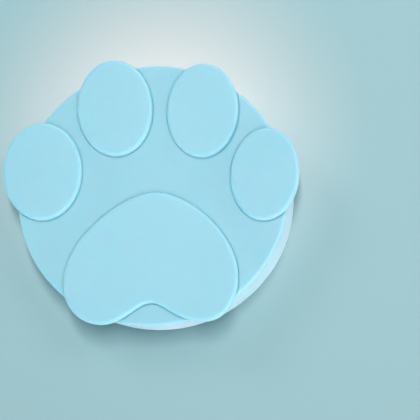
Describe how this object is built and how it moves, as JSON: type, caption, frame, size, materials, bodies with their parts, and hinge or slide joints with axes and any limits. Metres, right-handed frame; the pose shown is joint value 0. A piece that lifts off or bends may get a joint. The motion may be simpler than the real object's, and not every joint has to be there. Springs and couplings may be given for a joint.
{
  "type": "can lid",
  "caption": "Paw-shaped silicone lid for pet-food cans: an oval cap with raised palm and toe pads, toes that overhang as lifting tabs, and stepped gripping rings underneath.",
  "frame": {"origin": "on the can axis, at the plane of the open rim that the lid stands on", "axes": "+Z along the can axis towards the paw face, +Y towards the paw's toes, +X to the right as the paw is seen upright"},
  "size_m": [0.1025, 0.0909, 0.0202],
  "materials": {
    "silicone": "satin, pale sky blue moulded silicone"
  },
  "bodies": {
    "root": {"cap_disc": "silicone", "skirt": "silicone", "middle_ring": "silicone", "inner_ring": "silicone", "palm_pad": "silicone", "left_outer_toe": "silicone", "left_inner_toe": "silicone", "right_inner_toe": "silicone", "right_outer_toe": "silicone"}
  },
  "joints": []
}
